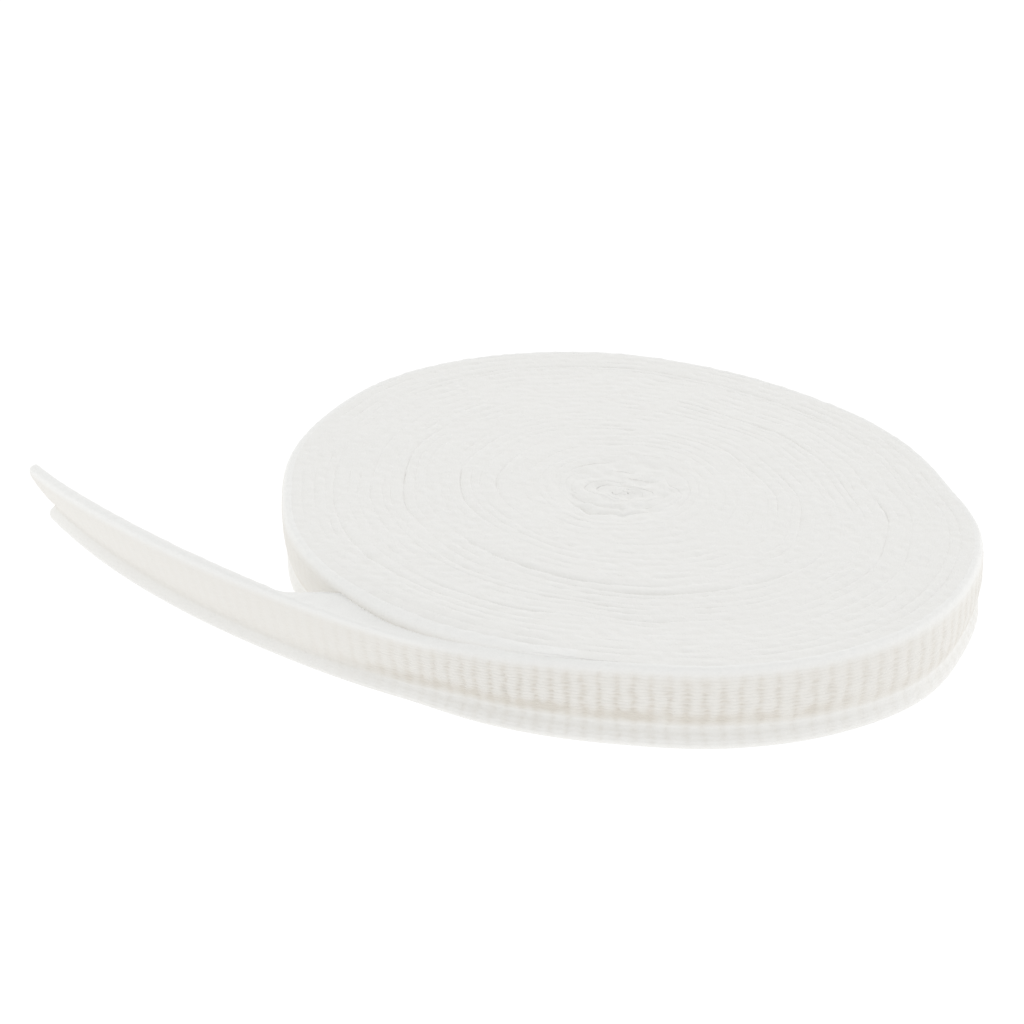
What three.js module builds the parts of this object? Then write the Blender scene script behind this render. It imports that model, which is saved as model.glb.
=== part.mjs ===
// A roll of narrow tubular net bandage. The elastic net tube is pressed flat, stands on its edge and is wound
// into a low, uneven disc that lies on its side. The last stretch of the tube leaves the disc at the front left
// and stands free. Millimetres, +Z up, with the origin on the flat underside at the middle of the winding.
import * as THREE from "three";

// Driving dimensions
const BAND_WIDTH = 15; // flat width of the tube, which is the height of the roll
const TURN_PITCH = 2.1; // one flattened tube, two layers of net
const RUNG_PITCH = 2.8; // cross rungs of the net, along the band
const RUNG_RISE = 0.28; // how far a rung stands out from the hollow beside it
const FULL_TURN = 360;

// The outermost turn, counter-clockwise from where the loose end parts from it: its outer radius, how deep the
// lengthwise crease of its outer face is, as a share of the full depth, and how far its foot is tucked in under
// it. One row each 15 degrees.
const LEAVE_ANGLE = -120;
const OUTLINE = [
  { radius: 61.2, crease: 1.0, tuck: -0.5 },
  { radius: 61.7, crease: 1.0, tuck: -0.5 },
  { radius: 63.6, crease: 1.0, tuck: -0.1 },
  { radius: 67.0, crease: 0.9, tuck: 0.0 },
  { radius: 69.7, crease: 0.7, tuck: 0.0 },
  { radius: 71.0, crease: 0.5, tuck: 0.2 },
  { radius: 69.5, crease: 0.6, tuck: 1.1 },
  { radius: 66.4, crease: 0.7, tuck: 0.6 },
  { radius: 61.0, crease: 0.6, tuck: 0.3 },
  { radius: 58.4, crease: 0.5, tuck: 0.3 },
  { radius: 56.6, crease: 0.4, tuck: 0.2 },
  { radius: 55.5, crease: 0.3, tuck: 0.2 },
  { radius: 56.2, crease: 0.3, tuck: 0.2 },
  { radius: 58.4, crease: 0.3, tuck: 0.2 },
  { radius: 62.1, crease: 0.4, tuck: 0.2 },
  { radius: 65.5, crease: 0.5, tuck: 0.2 },
  { radius: 68.7, crease: 0.5, tuck: 0.2 },
  { radius: 70.0, crease: 0.4, tuck: 0.2 },
  { radius: 68.5, crease: 0.4, tuck: 0.3 },
  { radius: 66.6, crease: 0.5, tuck: 0.4 },
  { radius: 64.0, crease: 0.6, tuck: 0.6 },
  { radius: 63.0, crease: 0.7, tuck: 1.4 },
  { radius: 61.5, crease: 0.8, tuck: 2.8 },
  { radius: 59.5, crease: 0.9, tuck: 2.2 },
  { radius: 58.9, crease: 1.0, tuck: 0.6 },
];

// The band's outer face from its foot to its crown: how far up the band, as a share of its width, how far out
// from its fullest line, and how strongly the rungs show there.
const FACE = [
  { name: "foot", up: 0.0, out: -0.95, rung: 0 },
  { name: "foot turn", up: 0.028, out: -0.3, rung: 0.4 },
  { name: "lip", up: 0.12, out: 0.0, rung: 1 },
  { name: "lip top", up: 0.22, out: -0.25, rung: 0.8 },
  { name: "crease", up: 0.29, out: -1.15, rung: 0.2 },
  { name: "belly foot", up: 0.36, out: -0.3, rung: 0.9 },
  { name: "belly", up: 0.56, out: 0.0, rung: 1 },
  { name: "shoulder", up: 0.84, out: -0.15, rung: 1 },
  { name: "crown turn", up: 0.955, out: -0.5, rung: 0.5 },
  { name: "crown", up: 1.0, out: -1.0, rung: 0 },
];
const FOLD = FACE.find((row) => row.name === "crease");
const CREASE_FLAT = -0.1; // where the crease's row would lie if there were none

// The upper face of the roll. Its grooves between turns that show most: share of the way out from the middle,
// depth, the angle where each is deepest, and how far it is felt to either side, in degrees.
const GROOVE_HALF_WIDTH = 0.014; // as a share of the way out
const GROOVE_LEAST = 0.25; // the share of its depth that a groove keeps all round
const GROOVES = [
  { share: 0.955, depth: 0.7, deepest: -15, spread: 110 },
  { share: 0.89, depth: 0.7, deepest: 180, spread: 80 },
  { share: 0.81, depth: 0.8, deepest: 215, spread: 70 },
  { share: 0.71, depth: 0.6, deepest: 35, spread: 80 },
  { share: 0.6, depth: 1.3, deepest: -90, spread: 65 },
  { share: 0.5, depth: 0.6, deepest: 175, spread: 80 },
  { share: 0.4, depth: 0.6, deepest: 10, spread: 80 },
  { share: 0.3, depth: 0.5, deepest: 160, spread: 90 },
  { share: 0.19, depth: 2.4, deepest: -115, spread: 75 },
  { share: 0.09, depth: 1.2, deepest: 150, spread: 90 },
];
const TURN_GROOVE_DEPTH = 0.6; // behind the outermost turn
const TOP_SWELL = 0.11; // slow rise and fall of the upper face
const TOP_RIM_MARGIN = 2.6; // from the end of the outermost turn in to the first closed ring
const HUB_RADIUS = 61.4; // outline radius that the round turns near the hub would grow to
const HUB_BLEND = 0.45; // share of the way out where the outline's own form has taken over
const HUB_DIP = 1.0;

// The loose end, seen from above, bends evenly from its first heading to its last
const END_LENGTH = 107;
const END_HEADING_FIRST = 152.5;
const END_HEADING_LAST = 126.5;
const END_GAP = 0.5; // parts it from the roll, in the solids alone
// Its section along the way: share of the length, flat width, thickness, lean of the part above the crease
// outwards in degrees, and how far its foot stands out from the crease
const END_SECTIONS = [
  { at: 0.0, width: 15.0, thick: 1.6, lean: 0, foot: 0.4 },
  { at: 0.12, width: 13.9, thick: 1.8, lean: 4, foot: 0.7 },
  { at: 0.32, width: 13.2, thick: 2.2, lean: 9, foot: 1.0 },
  { at: 0.55, width: 13.8, thick: 2.6, lean: 14, foot: 1.2 },
  { at: 0.8, width: 13.4, thick: 2.7, lean: 19, foot: 1.2 },
  { at: 1.0, width: 12.2, thick: 2.6, lean: 24, foot: 0.7 },
];
// Its inner face from crown to foot
const INNER_FACE = [
  { up: 0.955, in: 0.35 },
  { up: 0.75, in: 0 },
  { up: 0.45, in: 0 },
  { up: 0.2, in: 0 },
  { up: 0.028, in: 0.2 },
  { up: 0.0, in: 0.45 },
];
const TIP_REACH = 1.4; // how far the upper corner of the cut end runs on past the lower one
const TIP_STEPS = 8; // sections over which the slant of the cut comes in
const MOUTH_WALL = 0.75; // the net's own thickness at the open end
const MOUTH_DEPTH = 6;
const MOUTH_LOW = 0.42; // the open part of the mouth, up the band
const MOUTH_HIGH = 0.93;

// Mesh steps
const RIM_STEPS = 286; // two to a rung of the net, round the outermost turn
const TOP_STEPS = 72;

const radians = THREE.MathUtils.degToRad;
const { clamp, lerp, smoothstep } = THREE.MathUtils;

const polar = (radius, degrees, z) => [
  radius * Math.cos(radians(degrees)),
  radius * Math.sin(radians(degrees)),
  z,
];

// Smooth reading of one column of a table of even rows: 0 is the first row and 1 the last.
function readEven(rows, column, share) {
  const last = rows.length - 1;
  const place = clamp(share, 0, 1) * last;
  const i = Math.min(Math.floor(place), last - 1);
  const t = place - i;
  const value = (k) => rows[clamp(k, 0, last)][column];
  const rise = value(i + 1) - value(i);
  const slopeA = (value(i + 1) - value(i - 1)) / 2;
  const slopeB = (value(i + 2) - value(i)) / 2;
  const square = 3 * rise - 2 * slopeA - slopeB;
  const cube = slopeA + slopeB - 2 * rise;
  return value(i) + t * (slopeA + t * (square + t * cube));
}

// Straight reading of one column of a table whose rows say where they stand.
function readAt(rows, column, share) {
  const k = Math.max(1, rows.findIndex((row) => row.at >= share));
  const [a, b] = [rows[k - 1], rows[k]];
  return lerp(a[column], b[column], clamp((share - a.at) / (b.at - a.at), 0, 1));
}

// A closed surface, gathered ring by ring. Rings run counter-clockwise seen from the side they are joined
// towards.
class Skin {
  points = [];
  faces = [];

  ring(places) {
    const first = this.points.length / 3;
    places.forEach((place) => this.points.push(...place));
    return places.map((_, i) => first + i);
  }

  // Joins two rings, which may hold different numbers of points, by stepping along whichever lags.
  bridge(a, b) {
    let i = 0;
    let j = 0;
    while (i < a.length || j < b.length) {
      const alongA = j >= b.length || (i < a.length && (i + 1) * b.length <= (j + 1) * a.length);
      const from = a[i % a.length];
      const across = b[j % b.length];
      if (alongA) i += 1;
      else j += 1;
      this.faces.push(from, alongA ? a[i % a.length] : b[j % b.length], across);
    }
  }

  // Closes a ring with flat triangles, worked out on its outline.
  cap(ring, outline, reversed = false) {
    THREE.ShapeUtils.triangulateShape(outline, []).forEach(([p, q, r]) => {
      this.faces.push(...(reversed ? [ring[p], ring[r], ring[q]] : [ring[p], ring[q], ring[r]]));
    });
  }

  // Closes a ring with triangles that meet at one point.
  fan(ring, place) {
    const [centre] = this.ring([place]);
    ring.forEach((v, i) => this.faces.push(v, ring[(i + 1) % ring.length], centre));
  }

  mesh(name, material) {
    const geometry = new THREE.BufferGeometry();
    geometry.setAttribute("position", new THREE.Float32BufferAttribute(this.points, 3));
    geometry.setIndex(this.faces);
    geometry.computeVertexNormals();
    const mesh = new THREE.Mesh(geometry, material);
    mesh.name = name;
    return mesh;
  }
}

// The outer face at one of its rows: the crease fades towards the flat face, and every second step along the
// band lies in the hollow between two rungs.
function faceOut(row, crease, step) {
  const plain = row === FOLD ? lerp(CREASE_FLAT, row.out, crease) : row.out;
  return plain - (step % 2) * RUNG_RISE * row.rung;
}

// A ring that follows the outermost turn, which ends one pitch further in than it starts.
function turnRing(height, outAt) {
  return Array.from({ length: RIM_STEPS }, (_, step) => {
    const share = step / (RIM_STEPS - 1);
    const radius = readEven(OUTLINE, "radius", share) + outAt(share, step);
    return polar(radius, LEAVE_ANGLE + FULL_TURN * share, height);
  });
}

// How strongly a groove is felt at an angle: in full at its deepest, easing to the least all round.
function grooveStrength(groove, degrees) {
  const away = Math.abs(THREE.MathUtils.euclideanModulo(degrees - groove.deepest + 180, FULL_TURN) - 180);
  return lerp(1, GROOVE_LEAST, smoothstep(away, 0, groove.spread));
}

// The height of the upper face between its grooves: two slow waves, no higher than the band is wide, and a
// shallow dip at the hub.
function topHeight(share, degrees) {
  const waves = Math.sin(radians(2 * degrees + 40)) + Math.sin(radians(3 * degrees) + 5 * share) - 2;
  const dip = HUB_DIP * (1 - smoothstep(share, 0, HUB_BLEND / 2));
  return BAND_WIDTH + TOP_SWELL * waves - dip;
}

// A closed ring of the upper face. It has the outline's form at the rim and grows round towards the hub.
function topRing(share, depthAt) {
  const form = smoothstep(share, 0, HUB_BLEND);
  return Array.from({ length: TOP_STEPS }, (_, step) => {
    const turn = step / TOP_STEPS;
    const degrees = LEAVE_ANGLE + FULL_TURN * turn;
    const rim = readEven(OUTLINE, "radius", turn) - TURN_PITCH * (1 - turn) - TOP_RIM_MARGIN;
    return polar(share * lerp(HUB_RADIUS, rim, form), degrees, topHeight(share, degrees) - depthAt(degrees));
  });
}

// The wound roll: the outermost turn's face from foot to crown, the grooved upper face, and a flat underside.
function makeRoll(material) {
  const skin = new Skin();
  const rings = FACE.map((row) =>
    turnRing(row.up * BAND_WIDTH, (share, step) => {
      const tuck = readEven(OUTLINE, "tuck", share) * (1 - row.up) ** 1.5;
      return faceOut(row, readEven(OUTLINE, "crease", share), step) - tuck;
    }),
  );
  const underside = rings[0].map(([x, y]) => new THREE.Vector2(x, y));
  rings.push(turnRing(BAND_WIDTH - TURN_GROOVE_DEPTH, () => -TURN_PITCH));
  GROOVES.forEach((groove) => {
    const bank = () => 0;
    const bed = (degrees) => groove.depth * grooveStrength(groove, degrees);
    rings.push(topRing(groove.share + GROOVE_HALF_WIDTH, bank));
    rings.push(topRing(groove.share, bed));
    rings.push(topRing(groove.share - GROOVE_HALF_WIDTH, bank));
  });
  const joined = rings.map((places) => skin.ring(places));
  joined.slice(1).forEach((ring, i) => skin.bridge(joined[i], ring));
  skin.cap(joined[0], underside, true);
  skin.fan(joined.at(-1), [0, 0, topHeight(0, 0)]);
  return skin.mesh("roll", material);
}

// Where the loose end's middle stands on the ground, a distance along it, and which way it heads there.
function endPlace(distance) {
  const bend = radians(END_HEADING_LAST - END_HEADING_FIRST) * (distance / END_LENGTH);
  const first = radians(END_HEADING_FIRST);
  const chord = bend === 0 ? distance : (distance * Math.sin(bend / 2)) / (bend / 2);
  const [x, y] = polar(OUTLINE[0].radius - TURN_PITCH / 2, LEAVE_ANGLE, 0);
  return {
    x: x + chord * Math.cos(first + bend / 2),
    y: y + chord * Math.sin(first + bend / 2),
    heading: first + bend,
  };
}

// A point of the loose end's section as (aside, height), from its share of the way up the band and how far out it
// lies from the band's middle. Above the crease the band leans outwards, and below it the foot stands out.
function sectionPoint(share, up, out) {
  const width = readAt(END_SECTIONS, "width", share);
  const lean = up > FOLD.up ? radians(readAt(END_SECTIONS, "lean", share)) : 0;
  const foot = readAt(END_SECTIONS, "foot", share) * Math.max(0, 1 - up / FOLD.up);
  const above = Math.max(0, up - FOLD.up) * width;
  return new THREE.Vector2(
    out * Math.cos(lean) + above * Math.sin(lean) + foot,
    Math.min(up, FOLD.up) * width + above * Math.cos(lean) - out * Math.sin(lean),
  );
}

// One section of the loose end, up its outer face and down its inner one.
function endSection(share, step) {
  const thick = readAt(END_SECTIONS, "thick", share);
  return [
    ...FACE.map((row) => sectionPoint(share, row.up, thick / 2 + faceOut(row, 1, step))),
    ...INNER_FACE.map((row) => sectionPoint(share, row.up, row.in - thick / 2)),
  ];
}

// The open part of the mouth, with as many points as a section has.
function mouthSection() {
  const half = readAt(END_SECTIONS, "thick", 1) / 2 - MOUTH_WALL;
  const side = (count, low, high, out) =>
    Array.from({ length: count }, (_, i) => sectionPoint(1, lerp(low, high, i / (count - 1)), out));
  return [
    ...side(FACE.length, MOUTH_LOW, MOUTH_HIGH, half),
    ...side(INNER_FACE.length, MOUTH_HIGH, MOUTH_LOW, -half),
  ];
}

// Stands a section up on the loose end's line. The cut end slants, its upper corner reaching furthest.
function stand(section, distance, slant) {
  return section.map(({ x: aside, y: height }) => {
    const { x, y, heading } = endPlace(distance + (slant * height) / BAND_WIDTH);
    return [x - aside * Math.sin(heading), y + aside * Math.cos(heading), height];
  });
}

// The loose end: sections two to a rung, a blunt start beside the roll, and the open mouth of the cut tube.
function makeLooseEnd(material) {
  const skin = new Skin();
  const steps = Math.round((2 * (END_LENGTH - END_GAP)) / RUNG_PITCH);
  const rings = Array.from({ length: steps + 1 }, (_, step) => {
    const distance = lerp(END_GAP, END_LENGTH, step / steps);
    const slant = TIP_REACH * smoothstep(step, steps - TIP_STEPS, steps);
    return stand(endSection(distance / END_LENGTH, step), distance, slant);
  });
  rings.push(stand(mouthSection(), END_LENGTH, TIP_REACH));
  rings.push(stand(mouthSection(), END_LENGTH - MOUTH_DEPTH, 0));
  const joined = rings.map((places) => skin.ring(places));
  joined.slice(1).forEach((ring, i) => skin.bridge(joined[i], ring));
  skin.cap(joined[0], endSection(END_GAP / END_LENGTH, 0), true);
  skin.cap(joined.at(-1), mouthSection());
  return skin.mesh("loose_end", material);
}

const cotton = new THREE.MeshStandardMaterial({ color: 0xeeede9, roughness: 0.95, metalness: 0 });

const bandage = new THREE.Group();
bandage.add(makeRoll(cotton), makeLooseEnd(cotton));

export default bandage;
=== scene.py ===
"""The looks of a rolled tubular net bandage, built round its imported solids.

One band, an elastic net tube pressed flat, is wound edge-up into a low uneven disc, and its last stretch
leaves the disc at the front left. Every length below is in millimetres until a mesh is made. A place on
the winding is given in turns: 0 where the loose end leaves, 1 after one full turn inwards, and so on to
the middle.
"""

import bpy
import numpy as np
from bpy.props import FloatProperty, FloatVectorProperty, PointerProperty
from mathutils import Matrix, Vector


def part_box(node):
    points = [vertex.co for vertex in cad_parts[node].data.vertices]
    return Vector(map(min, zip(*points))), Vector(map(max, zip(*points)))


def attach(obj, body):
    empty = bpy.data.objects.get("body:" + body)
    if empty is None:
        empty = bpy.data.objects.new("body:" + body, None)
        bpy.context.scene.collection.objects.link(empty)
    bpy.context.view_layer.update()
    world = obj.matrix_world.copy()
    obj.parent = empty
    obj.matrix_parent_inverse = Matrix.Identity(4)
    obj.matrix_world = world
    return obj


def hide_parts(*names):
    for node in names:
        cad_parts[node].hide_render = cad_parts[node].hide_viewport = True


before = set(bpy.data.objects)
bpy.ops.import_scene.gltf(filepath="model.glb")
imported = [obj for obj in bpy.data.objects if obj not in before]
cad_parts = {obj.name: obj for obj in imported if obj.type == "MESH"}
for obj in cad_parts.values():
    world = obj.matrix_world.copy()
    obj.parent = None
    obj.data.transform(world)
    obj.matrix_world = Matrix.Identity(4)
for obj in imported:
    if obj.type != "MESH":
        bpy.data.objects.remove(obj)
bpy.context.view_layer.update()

bl_info = {
    "name": "Rolled tubular net bandage",
    "version": (1, 0, 0),
    "blender": (4, 5, 0),
    "location": "View3D > Sidebar > Bandage",
    "description": "Winds a flat net tube into a roll with a loose end, and sets it on a pale studio floor",
    "category": "Object",
}

MM = 0.001
FULL_TURN = 360.0
BAND_WIDTH = (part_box("roll")[1].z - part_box("roll")[0].z) / MM


def table(names, rows):
    """The columns of a small table, each an array under its name."""
    return dict(zip(names.split(), np.array(rows, float).T))


# The outermost turn, counter-clockwise from where the loose end parts from it, a row each 15 degrees: its
# outer radius, how deep the lengthwise crease of its face is, as a share, and how far its foot is tucked in
# under it
LEAVE_ANGLE = -120.0
OUTLINE = table(
    "radius crease tuck",
    [
        (61.2, 1.0, -0.5),
        (61.7, 1.0, -0.5),
        (63.6, 1.0, -0.1),
        (67.0, 0.9, 0.0),
        (69.7, 0.7, 0.0),
        (71.0, 0.5, 0.2),
        (69.5, 0.6, 1.1),
        (66.4, 0.7, 0.6),
        (61.0, 0.6, 0.3),
        (58.4, 0.5, 0.3),
        (56.6, 0.4, 0.2),
        (55.5, 0.3, 0.2),
        (56.2, 0.3, 0.2),
        (58.4, 0.3, 0.2),
        (62.1, 0.4, 0.2),
        (65.5, 0.5, 0.2),
        (68.7, 0.5, 0.2),
        (70.0, 0.4, 0.2),
        (68.5, 0.4, 0.3),
        (66.6, 0.5, 0.4),
        (64.0, 0.6, 0.6),
        (63.0, 0.7, 1.4),
        (61.5, 0.8, 2.8),
        (59.5, 0.9, 2.2),
        (58.9, 1.0, 0.6),
    ],
)
OUTLINE["share"] = np.linspace(0, 1, len(OUTLINE["radius"]))
RADIUS_DROP = OUTLINE["radius"][0] - OUTLINE["radius"][-1]  # over the outermost turn
TUCK_DRIFT = (OUTLINE["tuck"][-1] - OUTLINE["tuck"][0]) / 2
TUCK_REACH = 7.0  # turns over which the tuck fades out inwards

# The band's shown face from foot to shoulder: height as a share of its width, how far out it lies from its
# fullest line where the crease is full and where there is none, how far the broad shoulder falls back, and
# how strongly the rungs stand out
FACE = table(
    "up out plain broad rung",
    [
        (0.028, -0.2, -0.3, 0.0, 0.1),
        (0.055, 0.0, -0.1, 0.0, 0.4),
        (0.09, -0.08, -0.05, 0.0, 0.5),
        (0.125, -0.36, -0.05, 0.0, 0.5),
        (0.16, -0.85, -0.1, 0.0, 0.5),
        (0.2, -1.55, -0.14, 0.0, 0.6),
        (0.245, -1.68, -0.12, 0.0, 0.9),
        (0.33, -1.15, -0.05, 0.0, 1.0),
        (0.45, -0.68, 0.0, 0.0, 1.0),
        (0.6, -0.42, 0.0, -0.05, 1.0),
        (0.72, -0.32, -0.06, -0.2, 0.9),
        (0.82, -0.36, -0.14, -0.32, 0.7),
    ],
)
CREASE_UP = 0.21
FACE_FADES = (0.9, 0.97)  # turns between which that profile goes flat, behind the loose end
SHOULDERS = ((-5.0, 40.0), (215.0, 30.0))  # angles where the shoulder is broad, and their spreads
FOOT_REACH = 0.65  # how far the rounded foot runs in under the band
CROWN_POWER = 2.6  # how squarely a turn's upper edge is rounded
EDGE_SHARE = 0.75  # of the outermost turn's thickness, over which its shown edge is rounded
# How much lower the band is where it comes on to the roll, over how many turns, and how far it presses in
# there
LOW_START, LOW_REACH, LOW_PRESS = 1.8, 0.1, 0.35
LOW_LIP = 0.5  # how far its top rises there, where it leans on the turn behind it
SLUMP = {"size": 1.2, "angle": 232.0, "spread": 22.0, "share": 0.06}  # of the roll's edge behind it

# Turns further in
TURN_SHARE = 0.0338  # of the winding's radius, taken up by one turn
LAST_TURN = 30.5
TURN_GAP = 0.03
ROUND_RADIUS = 59.0
ROUND_SHARE = 0.16  # share of the way out where the turns are round
OUTLINE_SHARE = 0.45  # and where they have taken on the outline's form
# Inside the first share of the way out they are drawn out into a fold, which fades over the second share
HUB_SHARE, HUB_BLEND = 0.1, 0.13
HUB_LONG, HUB_SHORT, HUB_ANGLE = 1.35, 0.66, -22.0
HUB_RADIUS = 12.5
HUB_DIP, HUB_DIP_UNEVEN = 0.35, 0.12
PITCH_WAVES = table("size per_turn phase", [(0.0045, 0.381, 0.6), (0.004, 0.157, 2.0)])
FRONT_BULGE = {"size": 0.05, "angle": 290.0, "spread": 50.0, "share": 0.58, "depth": 0.16}
CRUSH, HUB_CRUSH = 0.4, 0.35  # how far turns stray from the even winding
SAG = 0.18  # how far their tops sag
CRUSH_FADES, SAG_FADES = (0.78, 0.93), (0.8, 0.97)  # shares of the way out between which both go to nothing
TOP_UNEVEN, HUB_TOP_UNEVEN = 0.004, 0.03  # rise and fall of the crowns from turn to turn, more at the hub

# Grooves between turns that show most: share of the way out, depth, angle where deepest, and spread in
# degrees
GROOVES = table(
    "share depth deepest spread",
    [
        (0.955, 0.14, -25, 45),
        (0.92, 0.12, -28, 35),
        (0.88, 0.16, 42, 35),
        (0.87, 0.2, 95, 25),
        (0.85, 0.22, 205, 30),
        (0.83, 0.14, -25, 30),
        (0.78, 0.2, 244, 14),
        (0.75, 0.22, -15, 30),
        (0.76, 0.16, 275, 10),
        (0.75, 0.18, 172, 22),
        (0.685, 0.22, 30, 30),
        (0.645, 0.22, 175, 28),
        (0.575, 0.45, -110, 28),
        (0.575, 0.42, -72, 26),
        (0.52, 0.16, -5, 30),
        (0.47, 0.22, 172, 30),
        (0.45, 0.16, 15, 30),
        (0.37, 0.2, 170, 30),
        (0.18, 0.8, -116, 36),
        (0.14, 0.5, -124, 30),
        (0.1, 0.2, 150, 30),
        (0.07, 0.35, 70, 40),
    ],
)
GROOVE_USUAL = 0.06
GROOVE_UNEVEN, GROOVE_DRIFT = 0.05, 0.03  # how much that comes and goes, in short waves and in long ones
GROOVE_LEAST = 0.006

# The loose end, seen from above, bends evenly from its first heading to its last
END_LENGTH = 107.0
END_HEADING_FIRST = 152.5
END_HEADING_LAST = 126.5
# Its section along the way: flat width, thickness, lean outwards above the crease in degrees, how far its
# foot stands out from the crease, and how far up the crease is
END_SECTIONS = table(
    "at width thick lean foot crease",
    [
        (0.0, 12.2, 2.2, 0, 0.5, 0.29),
        (0.05, 12.1, 1.7, 2, 0.5, 0.27),
        (0.12, 12.2, 1.8, 4, 0.7, 0.24),
        (0.2, 12.6, 2.0, 6, 0.9, 0.21),
        (0.32, 13.2, 2.2, 9, 1.0, 0.2),
        (0.55, 13.8, 2.6, 14, 1.2, 0.2),
        (0.8, 13.4, 2.7, 19, 1.2, 0.22),
        (1.0, 12.2, 2.6, 24, 0.7, 0.27),
    ],
)
PUFF_REACH = 14.0  # length over which the tube's top stays open towards the roll and touches it
PUFF_PRESS, PUFF_PRESS_REACH = 1.05, 8.0  # how far its far side presses in there, and from how far along
INNER_SHOULDER = 0.955  # how far up the far side its crown begins
BEND_HALF = 0.07  # above and below the crease, where it bends over to lean
END_CREASE_SHARE = 0.28  # of the roll's crease, on the loose end
# The cut end: how far each height reaches past the length
END_CUT = table("up reach", [(0.0, 0.0), (0.12, 0.6), (0.29, -0.5), (0.6, 0.6), (0.9, 2.0), (1.0, 2.2)])
CUT_RAMP = 9.0  # length over which the cut's slant comes in
MOUTH_WALL = 0.7
MOUTH_DEPTHS = (0.0, 0.8, 7.0)

# The net
RUNGS_IN_TURN = 143
RUNG_PITCH = 2.8
HOLLOW_DEPTH = 0.105
HOLE_DEPTH = 0.145
HOLE_PITCH = 0.95
HOLE_WIDTH = 0.17  # as a share of the rung pitch
RUNG_WANDER = 0.055  # likewise
HOLE_STAGGER, HOLE_WANDER = 0.27, 0.2  # from rung to rung and along the rungs, as shares of the hole pitch
NET_UNEVEN, FIBRE_RELIEF = 0.15, 0.02
HOLLOW_SHADE_PAINT, HOLE_SHADE_PAINT = 0.27, 0.33  # painted shade: how much of the shade colour the hollows between rungs and the holes take
STITCH_PITCH = 0.62
STITCH_SWAY = 5.0  # in radians, from tuft to tuft
STITCH_RELIEF = 0.25
FIBRE_SIZE, TUFT_SIZE = 0.55, 2.4
CREASE_SHADE, FACE_SHADE = 0.42, 0.44  # painted shade: how much of the shade colour the crease and the whole shown face take
LIP_SHARE = 0.35  # of the face's painted shade, on the lip below the crease
TROUGH_SPREAD = 0.09  # of the crease's painted shade, as a share of the band's width
CROWN_SHADE = 0.1  # painted shade on the inner turns' crowns, which leaves the outermost turn's edge lighter than them
CROWN_WORKED = 0.35  # how much the stitches show on the crowns
CROWN_PUCKER, CROWN_DRIFT = 0.03, 0.02  # their small unevenness, in short waves and longer ones
CROWN_BELOW, CROWN_FULL = 3.5, 2.2  # how far below the band's width that starts, and is full
# How much the rungs show, from the cut end to behind the loose end. A place is in turns, the loose end's
# below 0
RUNGS_SHOWN = table(
    "turns shown",
    [
        (-0.27, 0.1),
        (-0.12, 0.12),
        (-0.06, 0.2),
        (-0.03, 0.45),
        (0, 0.75),
        (0.05, 1),
        (0.12, 0.9),
        (0.2, 0.65),
        (0.27, 0.7),
        (0.4, 0.6),
        (0.8, 0.5),
        (0.88, 0.2),
        (1.06, 0.15),
    ],
)

# Steps
STEPS_IN_RUNG = 8
SEAM_REACH = 18  # steps to either side over which the loose end bends on to the roll
FOOT_ROWS = 3
FACE_ROWS = 60
WALL_ROWS = 8  # down the inner face
WALL_SPACING = 1.3  # the power that sets them closer together towards the foot
HIDDEN_ROWS = 4  # up a face that lies against the next turn
CROWN_ROWS = 6  # on either side of the crown's middle
INNER_STEP = 0.6
INNER_WALL_ROWS = 3
LENGTH_STEPS = 40000  # of the inner turns' line, from which their length is measured
INNER_PIECES = 3
FRONT_END = 0.62  # where the front piece of the outermost turn meets the back one
BACK_END = 1.06  # where the back piece of it meets the inner turns


def ease(low, high, x):
    """0 below low, 1 above high, and between them three squares less two cubes of the share of the way."""
    t = np.clip((x - low) / (high - low), 0, 1)
    return t * t * (3 - 2 * t)


def mix(a, b, share):
    """The value that lies that share of the way from a to b."""
    return a + (b - a) * share


def smooth_read(places, values, at):
    """Reads a table as a smooth curve: between two rows a cubic that meets both values, and at each row the
    slope of the rows on either side."""
    slopes = np.gradient(values, places)
    at = np.clip(at, places[0], places[-1])
    i = np.clip(np.searchsorted(places, at, side="right") - 1, 0, len(places) - 2)
    step = places[i + 1] - places[i]
    t = (at - places[i]) / step
    rise = ease(0, 1, t)
    curl = slopes[i] * (t**3 - 2 * t**2 + t) + slopes[i + 1] * (t**3 - t**2)
    return mix(values[i], values[i + 1], rise) + curl * step


def closed_read(values, turns):
    """Reads a column of the outline whose first and last rows are the same, over and over as the turns go
    on."""
    share = OUTLINE["share"]
    places = np.concatenate([share[-3:-1] - 1, share, share[1:3] + 1])
    return smooth_read(places, np.concatenate([values[-3:-1], values, values[1:3]]), turns % 1)


def ripples(seed, lengths, *coordinates, count=16):
    """Unevenness of about 1 to either side: a sum of plane waves in random directions, each as long as a
    random draw between the two lengths says."""
    draw = np.random.default_rng(seed)
    total = 0.0
    for _ in range(count):
        direction = draw.normal(size=len(coordinates))
        direction /= np.linalg.norm(direction)
        wave = 2 * np.pi / draw.uniform(*lengths)
        along = sum(d * c for d, c in zip(direction, coordinates))
        total = total + np.sin(wave * along + draw.uniform(0, 2 * np.pi))
    return total / np.sqrt(count / 2)


def way_out(turns):
    """Share of the way out from the middle: one less a turn's share for each turn past the first, with slow
    waves that leave some turns thicker than others."""
    waves = sum(
        size * np.sin(2 * np.pi * per_turn * turns + phase)
        for size, per_turn, phase in zip(*(PITCH_WAVES[k] for k in ("size", "per_turn", "phase")))
    )
    inner = np.maximum(turns - 1, 0)
    return 1 - TURN_SHARE * inner + waves * ease(0, 1.5, inner) * ease(0, 3, LAST_TURN - turns)


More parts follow.
